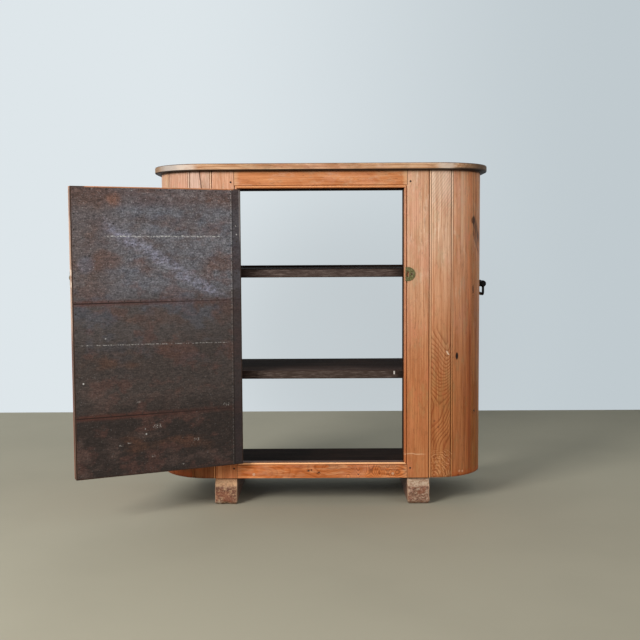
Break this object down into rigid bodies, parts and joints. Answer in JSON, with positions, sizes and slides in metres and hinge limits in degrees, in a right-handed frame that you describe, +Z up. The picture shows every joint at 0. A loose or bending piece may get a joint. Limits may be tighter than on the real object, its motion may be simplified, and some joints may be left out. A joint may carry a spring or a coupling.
{
  "type": "warming cabinet",
  "caption": "Pine plate-warming cabinet with rounded matched-board ends, an open back, dark shelves, runner feet and a tin-lined door hung on a beaded front frame.",
  "frame": {"origin": "on the floor under the middle of the case, half way between the front frame and the open back", "axes": "+Z up, +X to the right as seen from the front, the doorway faces -Y and the open back faces +Y"},
  "size_m": [1.2967, 0.6467, 1.09],
  "materials": {
    "pine": "stripped and waxed, warm, with fine grain",
    "worn_pine": "weathered, dark in the dents, pale where rubbed",
    "sooty_wood": "old dark brown paint, smoked, dull",
    "tinplate": "tinplate gone dark brown with heat, dull sheen, rust specks",
    "brass": "greenish aged brass",
    "iron": "blackened iron"
  },
  "bodies": {
    "case": {"top_board": "worn_pine", "top_former": "pine", "floor_board": "sooty_wood", "lower_shelf": "sooty_wood", "upper_shelf": "sooty_wood", "left_stile": "pine", "right_stile": "pine", "top_rail": "pine", "bottom_rail": "pine", "frame_pegs": "sooty_wood", "left_end_board_1": "pine", "left_end_board_2": "pine", "left_end_board_3": "pine", "left_end_board_4": "pine", "left_end_board_5": "pine", "left_end_board_6": "pine", "right_end_board_1": "pine", "right_end_board_2": "pine", "right_end_board_3": "pine", "right_end_board_4": "pine", "right_end_board_5": "pine", "right_end_board_6": "pine", "left_rear_post": "pine", "right_rear_post": "pine", "shelf_cleats": "sooty_wood", "shelf_lip": "sooty_wood", "left_lining": "tinplate", "right_lining": "tinplate", "door_stop_side": "sooty_wood", "door_stop_top": "sooty_wood", "left_foot": "worn_pine", "right_foot": "worn_pine", "upper_hinge_case_leaf": "iron", "lower_hinge_case_leaf": "iron", "hinge_pins": "iron", "case_hinge_screws": "iron", "strike_plate": "brass", "strike_screw": "iron", "left_handle_plate": "iron", "right_handle_plate": "iron", "handle_screws": "iron"},
    "door": {"door_hinge_stile": "pine", "door_lock_stile": "pine", "door_top_rail": "pine", "door_middle_rail": "pine", "door_bottom_rail": "pine", "door_upper_panel": "pine", "door_lower_panel": "pine", "door_tin_top": "tinplate", "door_tin_middle": "tinplate", "door_tin_bottom": "tinplate", "door_tin_strip": "tinplate", "door_tacks": "iron", "upper_hinge_door_leaf": "iron", "lower_hinge_door_leaf": "iron", "door_hinge_screws": "iron", "turn_plate": "brass"},
    "turn": {"turn_knob": "brass", "turn_tongue": "iron"},
    "left_bail": {"left_handle_bail": "iron"},
    "right_bail": {"right_handle_bail": "iron"}
  },
  "joints": [
    {"name": "door_hinge", "type": "hinge", "parent": "case", "child": "door", "pos_m": [-0.26325, -0.2, 0.575], "axis": [0, 0, 1], "range_deg": [-20, 155]},
    {"name": "turn_knob_spin", "type": "hinge", "parent": "door", "child": "turn", "pos_m": [-0.72313, -0.41996, 0.741], "axis": [-0.4226, 0.9063, 0], "range_deg": [0, 90]},
    {"name": "left_bail_swing", "type": "hinge", "parent": "case", "child": "left_bail", "pos_m": [-0.54, 0.025, 0.703], "axis": [0, 1, 0], "range_deg": [-8, 165]},
    {"name": "right_bail_swing", "type": "hinge", "parent": "case", "child": "right_bail", "pos_m": [0.54, 0.025, 0.703], "axis": [0, -1, 0], "range_deg": [-8, 165]}
  ]
}
